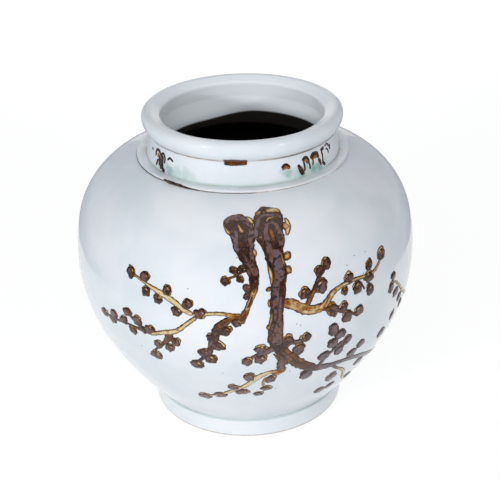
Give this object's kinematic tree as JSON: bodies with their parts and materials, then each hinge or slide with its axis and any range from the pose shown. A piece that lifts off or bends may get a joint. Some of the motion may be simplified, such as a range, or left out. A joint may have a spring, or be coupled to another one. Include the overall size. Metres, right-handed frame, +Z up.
{
  "type": "porcelain jar",
  "caption": "Broad-shouldered glazed porcelain jar with a foot ring, short neck and rolled lip, with a plum branch in raised iron slip.",
  "frame": {"origin": "centre of the circle that the foot ring stands on", "axes": "+Z up along the jar's axis, -Y towards the painted front, +X to the viewer's right"},
  "size_m": [0.33, 0.3305, 0.312],
  "materials": {
    "porcelain_glaze": "gloss",
    "iron_slip": "gloss"
  },
  "bodies": {
    "root": {"foot_ring": "porcelain_glaze", "lower_bowl": "porcelain_glaze", "shoulder_bowl": "porcelain_glaze", "collar_band": "porcelain_glaze", "neck_wall": "porcelain_glaze", "rolled_lip": "porcelain_glaze", "bud_chain": "iron_slip", "hanging_spray": "iron_slip", "left_branch": "iron_slip", "left_drop_spray": "iron_slip", "left_limb": "iron_slip", "left_lower_spray": "iron_slip", "left_neck_curls": "iron_slip", "low_bud_pair": "iron_slip", "low_centre_branch": "iron_slip", "low_left_twig": "iron_slip", "low_right_spray": "iron_slip", "low_right_twig": "iron_slip", "right_branch": "iron_slip", "right_neck_curls": "iron_slip", "root_branch": "iron_slip", "side_spray": "iron_slip", "small_twig": "iron_slip", "trunk": "iron_slip"}
  },
  "joints": []
}
